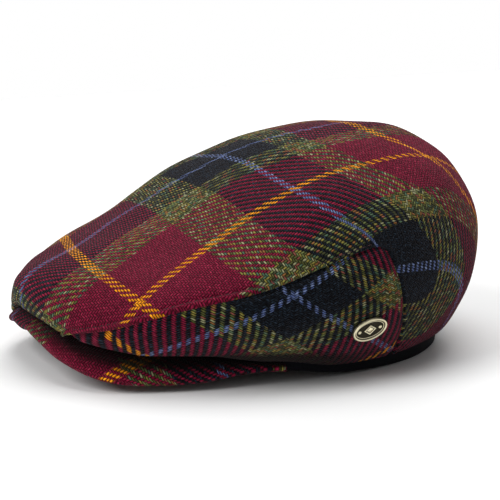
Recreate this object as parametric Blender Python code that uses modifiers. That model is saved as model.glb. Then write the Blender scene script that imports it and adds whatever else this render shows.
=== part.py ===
"""A tweed flat cap: one long top panel, two side panels, a peak, an inner band and an oval badge.

Metres, +Z up. The peak points along -Y and the wearer's left is +X. The cap rests at Z = 0 on the
two low sides of its peak and on the back of its inner band.
"""

import math

import bmesh
import bpy
import numpy as np
from mathutils import Matrix, Vector

# Head opening, which the inner band lines
BAND_HALF_WIDTH = 0.0845
BAND_HALF_LENGTH = 0.102
BAND_CENTRE_Y = 0.0064
BAND_WALL = 0.0018
BAND_HEIGHT = 0.019

# Crown, in tweed
CROWN_HALF_WIDTH = 0.100
CROWN_LENGTH = 0.2605
CROWN_FRONT = 0.1272
CROWN_HEIGHT = 0.1145
CLOTH = 0.0018

# Peak: how far it reaches out from the opening, and how high the opening arches above the floor in front
PEAK_REACH = 0.032
PEAK_ARCH = 0.020
PEAK_THICKNESS = 0.0045
PEAK_END_ANGLE = 75.0
PEAK_CURL = 2.8

# Clearance between neighbouring pieces
GAP = 0.0003
SEAT_GAP = 0.0007

# Badge on the wearer's left side panel: how far ahead of the back seam, and how high as a share of CROWN_HEIGHT
BADGE_HALF_LENGTH = 0.0098
BADGE_HALF_HEIGHT = 0.0064
BADGE_THICKNESS = 0.0020
BADGE_RIM = 0.0011
BADGE_RECESS = 0.0007
BADGE_EDGE = 0.0003
BADGE_SETBACK = 0.0232
BADGE_UP = 0.251
BADGE_TILT = math.radians(8)

# Raised figure in the badge's field: a lozenge between two studs
LOZENGE_HALF_LENGTH = 0.0036
LOZENGE_HALF_HEIGHT = 0.0030
STUD_RADIUS = 0.0010
STUD_SPACING = 0.0060
FIGURE_RISE = 0.0005

# Rows of the side panel's narrow front tip, which keep the larger gap
TIP_ROWS = 3

# Density of the cages
TOP_COLUMNS = 7
RIB_CELLS = 10
PEAK_COLUMNS = 4
BAND_STEPS = 72
BADGE_STEPS = 32

# The rim all round, by angle from the front: heights are shares of PEAK_ARCH, reaches of PEAK_REACH
RIM_COLUMNS = ("angle", "opening", "peak_reach", "peak_edge", "fold_reach", "fold", "tuck_reach")
RIM = (
    (0, 1.38, 0.90, 0.93, 0.93, 1.58, 0.22),
    (8, 1.33, 0.93, 0.77, 0.93, 1.46, 0.25),
    (17, 1.20, 0.97, 0.50, 0.94, 1.24, 0.33),
    (30, 0.98, 0.87, 0.13, 0.81, 0.97, 0.40),
    (42, 0.74, 0.56, 0.01, 0.60, 0.86, 0.40),
    (52, 0.52, 0.33, 0.01, 0.42, 0.84, 0.40),
    (62, 0.41, 0.17, 0.18, 0.26, 0.74, 0.40),
    (77, 0.31, 0.08, 0.33, 0.14, 0.56, 0.40),
    (90, 0.14, 0.05, 0.20, 0.12, 0.36, 0.40),
    (110, 0.04, 0.05, 0.20, 0.12, 0.38, 0.40),
    (125, 0.00, 0.05, 0.20, 0.12, 0.48, 0.40),
    (180, 0.00, 0.05, 0.20, 0.12, 0.53, 0.40),
)

# Cross-sections of the crown from the front fold to the back seam's top corner. Y is a share of
# CROWN_LENGTH from the front, X of CROWN_HALF_WIDTH and Z of CROWN_HEIGHT. The turn is how far each
# half section bends, in degrees, and the bulge is the side panel's, as a share of CROWN_HALF_WIDTH.
SECTION_COLUMNS = ("spine_y", "spine_z", "seam_x", "seam_y", "seam_z", "turn", "rim_angle", "bulge")
SECTIONS = (
    (0.000, 0.280, 0.355, 0.028, 0.215, 40, 17, 0.000),
    (-0.004, 0.385, 0.460, 0.046, 0.245, 52, 23, 0.004),
    (0.036, 0.450, 0.565, 0.073, 0.266, 62, 29, 0.010),
    (0.096, 0.478, 0.685, 0.115, 0.314, 70, 37, 0.018),
    (0.162, 0.508, 0.785, 0.168, 0.364, 76, 45, 0.030),
    (0.238, 0.572, 0.865, 0.225, 0.406, 80, 53, 0.045),
    (0.325, 0.655, 0.930, 0.294, 0.431, 84, 61, 0.062),
    (0.422, 0.812, 0.968, 0.357, 0.462, 88, 70, 0.080),
    (0.530, 0.930, 0.992, 0.425, 0.514, 90, 79, 0.092),
    (0.638, 0.986, 1.000, 0.482, 0.558, 90, 90, 0.100),
    (0.745, 1.015, 1.000, 0.540, 0.592, 90, 100, 0.104),
    (0.840, 0.993, 0.995, 0.588, 0.612, 90, 110, 0.105),
)

# The top panel goes on down the back. Share is how far down the back seam each section ends.
BACK_COLUMNS = ("spine_y", "spine_z", "share", "turn")
BACK_SECTIONS = (
    (0.906, 0.878, 0.13, 88),
    (0.962, 0.735, 0.29, 88),
    (0.985, 0.560, 0.47, 88),
    (0.974, 0.380, 0.65, 88),
    (0.945, 0.225, 0.83, 86),
    (0.922, 0.093, 1.00, 84),
)

# Colours, roughness and metallic value of each material
MATERIALS = {
    "tweed": ((0.115, 0.020, 0.040), 0.92, 0.0),
    "band_cloth": ((0.008, 0.008, 0.012), 0.85, 0.0),
    "aged_brass": ((0.42, 0.36, 0.22), 0.38, 1.0),
}


def clear_scene():
    for item in list(bpy.data.objects):
        bpy.data.objects.remove(item, do_unlink=True)


def material(name):
    colour, roughness, metallic = MATERIALS[name]
    made = bpy.data.materials.new(name)
    made.use_nodes = True
    shader = made.node_tree.nodes["Principled BSDF"]
    shader.inputs["Base Color"].default_value = (*colour, 1.0)
    shader.inputs["Roughness"].default_value = roughness
    shader.inputs["Metallic"].default_value = metallic
    return made


def column(table, columns, name):
    return np.array([row[columns.index(name)] for row in table], float)


def smooth(keys, values, at):
    """A smooth curve through the values, which never turns between two that are equal."""
    slopes = np.gradient(values, keys)
    i = np.clip(np.searchsorted(keys, at, side="right") - 1, 0, len(keys) - 2)
    width = keys[i + 1] - keys[i]
    t = (at - keys[i]) / width
    start = (1 + 2 * t) * (1 - t) ** 2 * values[i] + t * (1 - t) ** 2 * width * slopes[i]
    end = t * t * (3 - 2 * t) * values[i + 1] - t * t * (1 - t) * width * slopes[i + 1]
    low = np.minimum(values[i], values[i + 1])
    return np.maximum(start + end, low)


def rim(name, angle):
    unit = PEAK_REACH if name.endswith("reach") else PEAK_ARCH
    keys = column(RIM, RIM_COLUMNS, "angle")
    return unit * float(smooth(keys, column(RIM, RIM_COLUMNS, name), abs(angle)))


def opening_point(angle, out=0.0, z=0.0):
    """A point this far out from the head opening's outline, at an angle from the front."""
    a = math.radians(angle)
    normal = np.array([BAND_HALF_LENGTH * math.sin(a), -BAND_HALF_WIDTH * math.cos(a)])
    normal /= np.linalg.norm(normal)
    x = BAND_HALF_WIDTH * math.sin(a) + out * normal[0]
    y = BAND_CENTRE_Y - BAND_HALF_LENGTH * math.cos(a) + out * normal[1]
    return np.array([x, y, z])


def angle_of(point):
    """The angle and the reach of a point outside the opening."""
    angle = math.degrees(math.atan2(point[0] / BAND_HALF_WIDTH, (BAND_CENTRE_Y - point[1]) / BAND_HALF_LENGTH))
    for _ in range(6):
        base = opening_point(angle)
        away = opening_point(angle, 1.0) - base
        ahead = opening_point(angle + 1.0) - base
        off = point - base
        off[2] = 0.0
        angle += float(off @ ahead) / float(ahead @ ahead)
        reach = float(off @ away)
    return angle, reach


def peak_under(angle, reach):
    """Height of the peak's underside, which slopes from the opening to its edge."""
    share = reach / max(rim("peak_reach", angle), GAP)
    inner = rim("opening", angle)
    return inner + (rim("peak_edge", angle) - inner) * share**PEAK_CURL


def fold_point(angle):
    return opening_point(angle, rim("fold_reach", angle), rim("fold", angle))


def tuck_end(fold):
    """Where the cloth ends that turns under the crown's lower fold: on the peak, or beside the band."""
    angle, reach = angle_of(fold)
    depth = min(rim("tuck_reach", angle), reach - CLOTH - SEAT_GAP)
    over_peak = np.clip((PEAK_END_ANGLE + 4 - abs(angle)) / 16, 0, 1)
    seat = peak_under(angle, reach - depth) + PEAK_THICKNESS * 1.06 + SEAT_GAP
    return opening_point(angle, reach - depth, fold[2] + over_peak * (seat - fold[2]))


def crown_y(share):
    return CROWN_LENGTH * share - CROWN_FRONT


def section_values(row):
    values = dict(zip(SECTION_COLUMNS, row))
    spine = np.array([0.0, crown_y(values["spine_y"]), CROWN_HEIGHT * values["spine_z"]])
    seam = np.array([CROWN_HALF_WIDTH * values["seam_x"], crown_y(values["seam_y"]), CROWN_HEIGHT * values["seam_z"]])
    return spine, seam, values


def rib_point(seam, angle, bulge, share):
    """A point of the side panel, this share of the way down from the seam to the fold."""
    fold = fold_point(angle)
    outward = opening_point(angle, 1.0) - opening_point(angle)
    puff = 4 * share * (1 - share) * bulge * CROWN_HALF_WIDTH
    return seam + (fold - seam) * share + outward * puff


def half_section(spine, edge, turn):
    """Points from the centre line to the panel's edge, on an arc that bends by the turn."""
    full = math.radians(turn)
    points = []
    for k in range(TOP_COLUMNS + 1):
        angle = full * k / TOP_COLUMNS
        across = math.sin(angle) / math.sin(full)
        down = (1 - math.cos(angle)) / (1 - math.cos(full))
        points.append(np.array([edge[0] * across, *(spine[1:] + (edge[1:] - spine[1:]) * down)]))
    return points


def top_rows():
    rows = []
    for row in SECTIONS:
        spine, seam, values = section_values(row)
        rows.append(half_section(spine, seam, values["turn"]))
    _, corner, last = section_values(SECTIONS[-1])
    for row in BACK_SECTIONS:
        values = dict(zip(BACK_COLUMNS, row))
        spine = np.array([0.0, crown_y(values["spine_y"]), CROWN_HEIGHT * values["spine_z"]])
        edge = rib_point(corner, last["rim_angle"], last["bulge"], values["share"])
        rows.append(half_section(spine, edge, values["turn"]))
    ends = [tuck_end(point) for point in rows[0]]
    middles = [(point + end) / 2 for point, end in zip(rows[0], ends)]
    return [ends, middles] + rows


def resampled(points, count):
    """The same polyline as equal steps."""
    points = np.array(points)
    run = np.concatenate([[0], np.cumsum(np.linalg.norm(np.diff(points, axis=0), axis=1))])
    steps = np.linspace(0, run[-1], count + 1)
    return [np.array([np.interp(s, run, points[:, k]) for k in range(3)]) for s in steps]


def seam_clearance(into, onward, along, gap):
    """How far a wall starts past a seam, so that its thickness clears the wall that it turns from."""
    along = along / np.linalg.norm(along)
    into = into - along * float(into @ along)
    onward = onward - along * float(onward @ along)
    size = float(np.linalg.norm(into) * np.linalg.norm(onward))
    cosine = float(into @ onward) / size
    sine = float(np.cross(into, onward) @ along) / size
    return max(gap, (gap + CLOTH * sine) / cosine)


def side_rows():
    """The side panel's ribs, each from the seam down to the fold and under it."""
    rows = []
    seams = [section_values(row)[1] for row in SECTIONS]
    runs = np.gradient(seams, axis=0)
    for number, (row, along) in enumerate(zip(SECTIONS, runs)):
        spine, seam, values = section_values(row)
        section = half_section(spine, seam, values["turn"])
        angle = values["rim_angle"]
        rib = [rib_point(seam, angle, values["bulge"], k / 12) for k in range(13)]
        rib.append(tuck_end(rib[-1]))
        gap = SEAT_GAP if number < TIP_ROWS else GAP
        clear = seam_clearance(section[-1] - section[-2], rib[1] - rib[0], along, gap)
        rib[0] = rib[0] + (rib[1] - rib[0]) * clear / np.linalg.norm(rib[1] - rib[0])
        rows.append(resampled(rib, RIB_CELLS))
    rows[0] = [a + (b - a) / np.linalg.norm(b - a) * (3 * SEAT_GAP + CLOTH) for a, b in zip(rows[0], rows[1])]
    rows[-1] = [a + (b - a) / np.linalg.norm(b - a) * (2 * GAP) for a, b in zip(rows[-1], rows[-2])]
    return rows


def grid_mesh(name, rows, flip=False):
    """An open surface with a vertex at each point of the rows."""
    across = len(rows[0])
    verts = [tuple(point) for row in rows for point in row]
    faces = []
    for i in range(len(rows) - 1):
        for j in range(across - 1):
            a = i * across + j
            face = (a, a + 1, a + across + 1, a + across)
            faces.append(face[::-1] if flip else face)
    mesh = bpy.data.meshes.new(name)
    mesh.from_pydata(verts, [], faces)
    mesh.shade_smooth()
    return mesh


def add_object(name, mesh, collection, surface):
    made = bpy.data.objects.new(name, mesh)
    mesh.materials.append(surface)
    collection.objects.link(made)
    return made


def soften(made, mirrored):
    if mirrored:
        mirror = made.modifiers.new("Mirror", "MIRROR")
        mirror.merge_threshold = 0.0001
    subdivide = made.modifiers.new("Soft form", "SUBSURF")
    subdivide.levels = 1
    subdivide.render_levels = 1
    subdivide.boundary_smooth = "PRESERVE_CORNERS"


def thicken(made, thickness, offset):
    wall = made.modifiers.new("Wall", "SOLIDIFY")
    wall.thickness = thickness
    wall.offset = offset
    wall.use_even_offset = True


def build_top_panel(collection, tweed):
    rows = top_rows()
    mesh = grid_mesh("top_panel", rows)
    corner = (len(rows) - len(BACK_SECTIONS) - 1) * (TOP_COLUMNS + 1) + TOP_COLUMNS
    mesh.attributes.new("crease_vert", "FLOAT", "POINT").data[corner].value = 1.0
    made = add_object("top_panel", mesh, collection, tweed)
    soften(made, mirrored=True)
    thicken(made, CLOTH, -1)
    return made


def build_side_panel(name, side, collection, tweed):
    rows = [[point * (side, 1, 1) for point in row] for row in side_rows()]
    made = add_object(name, grid_mesh(name, rows, flip=side < 0), collection, tweed)
    soften(made, mirrored=False)
    thicken(made, CLOTH, -1)
    return made


def build_peak(collection, tweed):
    """The peak's underside, from the band outwards, made as thick as the stiffened board."""
    rows = []
    angles = [0, 8, 16, 23, 30, 36, 42, 47, 52, 57, 62, 69, PEAK_END_ANGLE]
    for angle in angles:
        outer = rim("peak_reach", angle)
        reaches = [SEAT_GAP + (outer - SEAT_GAP) * k / PEAK_COLUMNS for k in range(PEAK_COLUMNS + 1)]
        rows.append([opening_point(angle, reach, peak_under(angle, reach)) for reach in reaches])
    made = add_object("peak", grid_mesh("peak", rows), collection, tweed)
    soften(made, mirrored=True)
    thicken(made, PEAK_THICKNESS, 1)
    return made


def build_inner_band(collection, band_cloth):
    """A low wall round the head opening: its lower edge is flat at the back and arches up in front."""
    rows = []
    for k in range(BAND_STEPS):
        angle = 360 * k / BAND_STEPS
        low = rim("opening", min(angle, 360 - angle))
        rows.append([opening_point(angle, 0, low + BAND_HEIGHT * j / 2) for j in range(3)])
    mesh = grid_mesh("inner_band", rows + rows[:1], flip=True)
    made = add_object("inner_band", mesh, collection, band_cloth)
    join = made.modifiers.new("Join", "WELD")
    join.merge_threshold = 0.0001
    thicken(made, BAND_WALL, -1)
    return made


def back_seam_y(height):
    """How far back the side panel's rear seam runs at a height."""
    _, corner, last = section_values(SECTIONS[-1])
    seam = [rib_point(corner, last["rim_angle"], last["bulge"], k / RIB_CELLS) for k in range(RIB_CELLS, -1, -1)]
    return float(np.interp(height, [point[2] for point in seam], [point[1] for point in seam]))


def badge_place(panel):
    """The badge's own axes: X along the panel, Y up it and Z outwards, with the back of the badge at Z = 0."""
    bpy.context.view_layer.update()
    shape = panel.evaluated_get(bpy.context.evaluated_depsgraph_get())
    outside = Vector((2 * CROWN_HALF_WIDTH, back_seam_y(CROWN_HEIGHT * BADGE_UP) - BADGE_SETBACK, CROWN_HEIGHT * BADGE_UP))
    along = Vector((0, math.cos(BADGE_TILT), math.sin(BADGE_TILT))) * BADGE_HALF_LENGTH
    up = Vector((0, -math.sin(BADGE_TILT), math.cos(BADGE_TILT))) * BADGE_HALF_HEIGHT

    def meet(u, v):
        return shape.ray_cast(outside + along * u + up * v, Vector((-1, 0, 0)))[1]

    right = (meet(1, 0) - meet(-1, 0)).normalized()
    outward = right.cross(meet(0, 1) - meet(0, -1)).normalized()
    centre = meet(0, 0)
    steps = np.linspace(-1, 1, 9)
    rise = max((meet(u, v) - centre).dot(outward) for u in steps for v in steps if u * u + v * v <= 1.01)
    centre += outward * (rise + GAP)
    return Matrix.Translation(centre) @ Matrix((right, outward.cross(right), outward)).transposed().to_4x4()


def add_post(name, segments, half_length, half_height, low, high, collection):
    """An upright prism between two heights, with an oval outline, or a lozenge where it has four sides."""
    shape = bmesh.new()
    bmesh.ops.create_cone(shape, cap_ends=True, segments=segments, radius1=1, radius2=1, depth=high - low)
    bmesh.ops.transform(
        shape,
        matrix=Matrix.Translation((0, 0, (low + high) / 2)) @ Matrix.Diagonal((half_length, half_height, 1, 1)),
        verts=shape.verts,
    )
    mesh = bpy.data.meshes.new(name)
    shape.to_mesh(mesh)
    shape.free()
    made = bpy.data.objects.new(name, mesh)
    collection.objects.link(made)
    return made


def recess(mesh):
    """Sinks the field of the badge inside its rim."""
    shape = bmesh.new()
    shape.from_mesh(mesh)
    field = [face for face in shape.faces if face.normal.z > 0.9]
    bmesh.ops.inset_region(shape, faces=field, thickness=BADGE_RIM)
    bmesh.ops.inset_region(shape, faces=field, thickness=BADGE_EDGE, depth=-BADGE_RECESS)
    shape.to_mesh(mesh)
    shape.free()


def build_badge(panel, collection, helpers, brass):
    made = add_post("badge", BADGE_STEPS, BADGE_HALF_LENGTH, BADGE_HALF_HEIGHT, 0, BADGE_THICKNESS, collection)
    recess(made.data)
    made.data.materials.append(brass)
    made.matrix_world = badge_place(panel)
    low = BADGE_THICKNESS / 3
    high = BADGE_THICKNESS - BADGE_RECESS + FIGURE_RISE
    figures = [
        (4, LOZENGE_HALF_LENGTH, LOZENGE_HALF_HEIGHT, 0.0),
        (12, STUD_RADIUS, STUD_RADIUS, STUD_SPACING),
        (12, STUD_RADIUS, STUD_RADIUS, -STUD_SPACING),
    ]
    for count, (segments, half_length, half_height, offset) in enumerate(figures):
        figure = add_post(f"badge_figure_{count}", segments, half_length, half_height, low, high, helpers)
        figure.matrix_world = made.matrix_world @ Matrix.Translation((offset, 0, 0))
        figure.hide_render = True
        figure.display_type = "WIRE"
        join = made.modifiers.new(f"Figure {count}", "BOOLEAN")
        join.operation = "UNION"
        join.object = figure
    return made


def main():
    clear_scene()
    collection = bpy.data.collections.new("flat_cap")
    bpy.context.scene.collection.children.link(collection)
    helpers = bpy.data.collections.new("cutters")
    bpy.context.scene.collection.children.link(helpers)
    tweed = material("tweed")
    build_top_panel(collection, tweed)
    left = build_side_panel("side_panel_left", 1, collection, tweed)
    build_side_panel("side_panel_right", -1, collection, tweed)
    build_peak(collection, tweed)
    build_inner_band(collection, material("band_cloth"))
    build_badge(left, collection, helpers, material("aged_brass"))


if __name__ == "__main__":
    main()
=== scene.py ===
"""Looks of a tweed flat cap: tartan cloth on crown and peak, a dark inner band and an oval badge.

Metres, +Z up. The peak points along -Y and the wearer's left, which carries the badge, is +X.
"""

import math

import bmesh
import bpy
import numpy as np
from mathutils import Matrix, Vector
from mathutils.bvhtree import BVHTree


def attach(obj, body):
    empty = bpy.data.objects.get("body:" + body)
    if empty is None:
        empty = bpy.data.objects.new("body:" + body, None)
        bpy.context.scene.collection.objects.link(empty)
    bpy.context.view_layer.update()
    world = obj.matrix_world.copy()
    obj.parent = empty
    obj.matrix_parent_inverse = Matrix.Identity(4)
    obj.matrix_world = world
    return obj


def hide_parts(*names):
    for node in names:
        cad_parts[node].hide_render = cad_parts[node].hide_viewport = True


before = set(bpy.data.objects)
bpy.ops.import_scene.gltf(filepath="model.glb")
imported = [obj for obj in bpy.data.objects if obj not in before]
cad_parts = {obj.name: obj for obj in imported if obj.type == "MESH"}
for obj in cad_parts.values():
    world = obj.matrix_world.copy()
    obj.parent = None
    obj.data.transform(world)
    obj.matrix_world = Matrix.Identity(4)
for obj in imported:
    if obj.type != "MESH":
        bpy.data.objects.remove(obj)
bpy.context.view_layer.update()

bl_info = {
    "name": "Tweed flat cap",
    "version": (1, 0, 0),
    "blender": (4, 5, 0),
    "location": "View3D > Sidebar > Flat cap",
    "description": "Makes a flat cap in tartan tweed, piece by piece",
    "category": "Object",
}

MM = 0.001

# Head opening
BAND_HALF_WIDTH = 0.0845
BAND_HALF_LENGTH = 0.102
BAND_CENTRE_Y = 0.0064
BAND_WALL = 0.0018
BAND_HEIGHT = 0.019
BAND_STEPS = 192

# Crown
CROWN_HALF_WIDTH = 0.100
CROWN_LENGTH = 0.2605
CROWN_FRONT_Y = -0.1272
CROWN_HEIGHT = 0.1145
CLOTH = 0.0018

# Peak
PEAK_REACH = 0.032
PEAK_ARCH = 0.020
PEAK_THICKNESS = 0.0045
PEAK_END_ANGLE = 75.0
PEAK_CURL = 2.8

GAP = 0.0003
SEAT_GAP = 0.0007

# Density of the smooth surfaces
TOP_COLUMNS = 7
RIB_CELLS = 12
ROW_STEPS = 9
COLUMN_STEPS = 8
EDGE_STEPS = (0, 0.012, 0.025, 0.04, 0.06, 0.08, 0.105, 0.13, 0.16, 0.19)
EDGE_STEPS += (0.22, 0.26, 0.3, 0.36, 0.43, 0.5, 0.6, 0.7, 0.8, 0.9)
PATTERN_STEPS = 4
PEAK_RIBS = 181
PEAK_RIB_STEPS = 22
PEAK_ROUND_STEPS = 11

# The rim all round, by angle from the front: heights are shares of PEAK_ARCH, reaches of PEAK_REACH
RIM_COLUMNS = ("angle", "opening", "peak_reach", "peak_edge", "fold_reach", "fold", "tuck_reach")
RIM = (
    (0, 1.38, 0.90, 0.93, 0.93, 1.58, 0.22),
    (8, 1.33, 0.93, 0.77, 0.93, 1.46, 0.25),
    (17, 1.20, 0.97, 0.50, 0.94, 1.24, 0.33),
    (30, 0.98, 0.87, 0.13, 0.81, 0.97, 0.40),
    (42, 0.74, 0.56, 0.01, 0.60, 0.86, 0.40),
    (52, 0.52, 0.33, 0.01, 0.42, 0.84, 0.40),
    (62, 0.41, 0.17, 0.18, 0.26, 0.74, 0.40),
    (77, 0.31, 0.08, 0.33, 0.14, 0.56, 0.40),
    (90, 0.14, 0.05, 0.20, 0.12, 0.36, 0.40),
    (110, 0.04, 0.05, 0.20, 0.12, 0.38, 0.40),
    (125, 0.00, 0.05, 0.20, 0.12, 0.48, 0.40),
    (180, 0.00, 0.05, 0.20, 0.12, 0.53, 0.40),
)

# Cross-sections of the crown from the front fold to the back seam's top corner, as in the solids
SECTION_COLUMNS = ("spine_y", "spine_z", "seam_x", "seam_y", "seam_z", "turn", "rim_angle", "bulge")
SECTIONS = (
    (0.000, 0.280, 0.355, 0.028, 0.215, 40, 17, 0.000),
    (-0.004, 0.385, 0.460, 0.046, 0.245, 52, 23, 0.004),
    (0.036, 0.450, 0.565, 0.073, 0.266, 62, 29, 0.010),
    (0.096, 0.478, 0.685, 0.115, 0.314, 70, 37, 0.018),
    (0.162, 0.508, 0.785, 0.168, 0.364, 76, 45, 0.030),
    (0.238, 0.572, 0.865, 0.225, 0.406, 80, 53, 0.045),
    (0.325, 0.655, 0.930, 0.294, 0.431, 84, 61, 0.062),
    (0.422, 0.812, 0.968, 0.357, 0.462, 88, 70, 0.080),
    (0.530, 0.930, 0.992, 0.425, 0.514, 90, 79, 0.092),
    (0.638, 0.986, 1.000, 0.482, 0.558, 90, 90, 0.100),
    (0.745, 1.015, 1.000, 0.540, 0.592, 90, 100, 0.104),
    (0.840, 0.993, 0.995, 0.588, 0.612, 90, 110, 0.105),
)
BACK_COLUMNS = ("spine_y", "spine_z", "share", "turn")
BACK_SECTIONS = (
    (0.906, 0.878, 0.13, 88),
    (0.962, 0.735, 0.29, 88),
    (0.985, 0.560, 0.47, 88),
    (0.974, 0.380, 0.65, 88),
    (0.945, 0.225, 0.83, 86),
    (0.922, 0.093, 1.00, 84),
)

# Tartan: the cloth repeats every two half setts. Even lines are gold and odd lines blue.
HALF_SETT = 0.084
SIDE_SETT_DOWN = 0.066
SIDE_SETT_UP = 0.063
PEAK_SETT = 0.085
YARN = 0.00118
SIDE_YARN = 0.00100

# Where lines of the tartan run on the top panel, as pixels of the photograph read off: "lengthwise"
# counts the lines that run from front to back, and "crosswise" those that run from side to side.
PHOTO_PIXELS = 500
LINE_COLUMNS = ("right", "down", "lengthwise", "crosswise")
LINES = (
    (70, 249, -1, 0),
    (90, 264, None, 0),
    (110, 281, None, 0),
    (138, 302, 0, 0),
    (165, 281, 0, None),
    (200, 252, 0, None),
    (240, 223, 0, None),
    (291, 189, 0, 1),
    (339, 170, 0, None),
    (380, 161, 0, None),
    (423, 157, 0, 2),
    (30, 280, -1, None),
    (110, 222, -1, None),
    (150, 196, -1, None),
    (180, 178, -1, None),
    (217, 159, -1, 1),
    (260, 142, -1, None),
    (300, 131, -1, None),
    (343, 123, -1, 2),
    (251, 171, None, 1),
    (330, 212, None, 1),
    (350, 228, None, 1),
    (371, 243, None, 1),
    (380, 136, None, 2),
    (400, 275, 1, None),
    (430, 268, 1, None),
    (460, 255, 1, None),
    (430, 230, None, 1.3),
    (438, 300, None, 1.3),
    (455, 230, None, 1.55),
    (455, 300, None, 1.55),
)
# How far round its place each point pulls the pattern, in millimetres, and how much it may miss
LINE_SPREAD = 60.0
LINE_SOFTNESS = 0.08

# Camera
CAMERA_AZIMUTH = 62.75
CAMERA_ELEVATION = 12.25
CAMERA_DISTANCE = 0.9546
CAMERA_AIM = (0.0, 0.0028, 0.050)
CAMERA_SLIDE = (-0.00029, -0.00029)
CAMERA_ROLL = 0.21
CAMERA_LENS = 127.99
CAMERA_SENSOR = 36
CAMERA_CLIP = 0.01


# Settings that a user would change


def length_setting(name, description, default):
    return bpy.props.FloatProperty(name=name, description=description, default=default, unit="LENGTH")


class CapSizes(bpy.types.PropertyGroup):
    welt_width: length_setting("Welt width", "From the crown's seam to its groove", 0.0034)
    welt_height: length_setting("Welt height", "How far the seam stands proud", 0.0008)
    rumple: length_setting("Rumple", "Depth of the soft waves in the crown", 0.0007)
    peak_thickness: length_setting("Peak thickness", "Board and cloth together", PEAK_THICKNESS)
    stitch_pitch: length_setting("Stitch pitch", "From one stitch to the next", 0.0038)
    stitch_length: length_setting("Stitch length", "Length of one stitch", 0.0029)
    thread_radius: length_setting("Thread radius", "Half the thickness of the thread", 0.00022)


def colour_setting(name, description, default):
    return bpy.props.FloatVectorProperty(
        name=name, description=description, default=default, size=3, subtype="COLOR", min=0, max=1
    )


class CapColours(bpy.types.PropertyGroup):
    burgundy: colour_setting("Burgundy", "Main colour of the tartan", (0.170, 0.0035, 0.026))
    burgundy_fleck: colour_setting("Burgundy fleck", "Lighter fibres in it", (0.30, 0.020, 0.055))
    green: colour_setting("Green", "Heather green beside the burgundy", (0.095, 0.105, 0.030))
    green_fleck: colour_setting("Green fleck", "Straw-coloured fibres in it", (0.26, 0.22, 0.07))
    navy: colour_setting("Navy", "Nearly black ground", (0.0022, 0.0030, 0.0046))
    navy_fleck: colour_setting("Navy fleck", "Bluer fibres in it", (0.020, 0.034, 0.052))
    gold: colour_setting("Gold", "Narrow line in the burgundy", (0.78, 0.235, 0.006))
    gold_fleck: colour_setting("Gold fleck", "Brighter fibres in it", (1.0, 0.42, 0.020))
    blue: colour_setting("Blue", "Narrow line in the navy", (0.070, 0.105, 0.26))
    blue_fleck: colour_setting("Blue fleck", "Paler fibres in it", (0.22, 0.28, 0.46))
    band: colour_setting("Band", "Cloth of the inner band", (0.0012, 0.0013, 0.0022))
    brass: colour_setting("Brass", "Worn raised parts of the badge", (0.88, 0.80, 0.56))
    patina: colour_setting("Patina", "Dark film in the badge's recesses", (0.035, 0.030, 0.020))
    thread: colour_setting("Thread", "Topstitching", (0.045, 0.006, 0.012))


# The photograph's camera


def camera_matrix():
    """Where the camera stands and how it is turned."""
    azimuth, elevation = math.radians(CAMERA_AZIMUTH), math.radians(CAMERA_ELEVATION)
    level = math.cos(elevation)
    back = Vector((math.sin(azimuth) * level, -math.cos(azimuth) * level, math.sin(elevation)))
    right = Vector((math.cos(azimuth), math.sin(azimuth), 0))
    up = back.cross(right)
    aim = Vector(CAMERA_AIM)
    place = aim + back * CAMERA_DISTANCE
    target = aim + right * CAMERA_SLIDE[0] + up * CAMERA_SLIDE[1]
    turn = (target - place).to_track_quat("-Z", "Y").to_matrix().to_4x4()
    return Matrix.Translation(place) @ turn @ Matrix.Rotation(math.radians(CAMERA_ROLL), 4, "Z")


def seen_at(shape, right, down):
    """The place on a shape that the camera sees at this pixel of the photograph."""
    pixel = CAMERA_SENSOR / CAMERA_LENS / PHOTO_PIXELS
    middle = PHOTO_PIXELS / 2
    matrix = camera_matrix()
    ray = matrix.to_3x3() @ Vector(((right - middle) * pixel, (middle - down) * pixel, -1))
    return shape.ray_cast(matrix.translation, ray)[0]


# Curves and surfaces


def column(table, columns, name):
    return np.array([row[columns.index(name)] for row in table], float)


def smooth(keys, values, at):
    """A smooth curve through the values, which never turns between two that are equal."""
    slopes = np.gradient(values, keys)
    i = np.clip(np.searchsorted(keys, at, side="right") - 1, 0, len(keys) - 2)
    width = keys[i + 1] - keys[i]
    t = (at - keys[i]) / width
    start = (1 + 2 * t) * (1 - t) ** 2 * values[i] + t * (1 - t) ** 2 * width * slopes[i]
    end = t * t * (3 - 2 * t) * values[i + 1] - t * t * (1 - t) * width * slopes[i + 1]
    low = np.minimum(values[i], values[i + 1])
    return np.maximum(start + end, low)


def rim(name, angle):
    unit = PEAK_REACH if name.endswith("reach") else PEAK_ARCH
    keys = column(RIM, RIM_COLUMNS, "angle")
    return unit * float(smooth(keys, column(RIM, RIM_COLUMNS, name), abs(angle)))


def opening_normal(angle):
    a = math.radians(angle)
    normal = np.array([BAND_HALF_LENGTH * math.sin(a), -BAND_HALF_WIDTH * math.cos(a), 0.0])
    return normal / np.linalg.norm(normal)


def opening_point(angle, out=0.0, z=0.0):
    """A point this far out from the head opening's outline, at an angle from the front."""
    a = math.radians(angle)
    base = np.array([BAND_HALF_WIDTH * math.sin(a), BAND_CENTRE_Y - BAND_HALF_LENGTH * math.cos(a), z])
    return base + opening_normal(angle) * out


def angle_of(point):
    """The angle and the reach of a point outside the opening."""
    ahead = (BAND_CENTRE_Y - point[1]) / BAND_HALF_LENGTH
    angle = math.degrees(math.atan2(point[0] / BAND_HALF_WIDTH, ahead))
    for _ in range(6):
        base = opening_point(angle)
        ahead = opening_point(angle + 1.0) - base
        off = point - base
        off[2] = 0.0
        angle += float(off @ ahead) / float(ahead @ ahead)
        reach = float(off @ opening_normal(angle))
    return angle, reach


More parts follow.
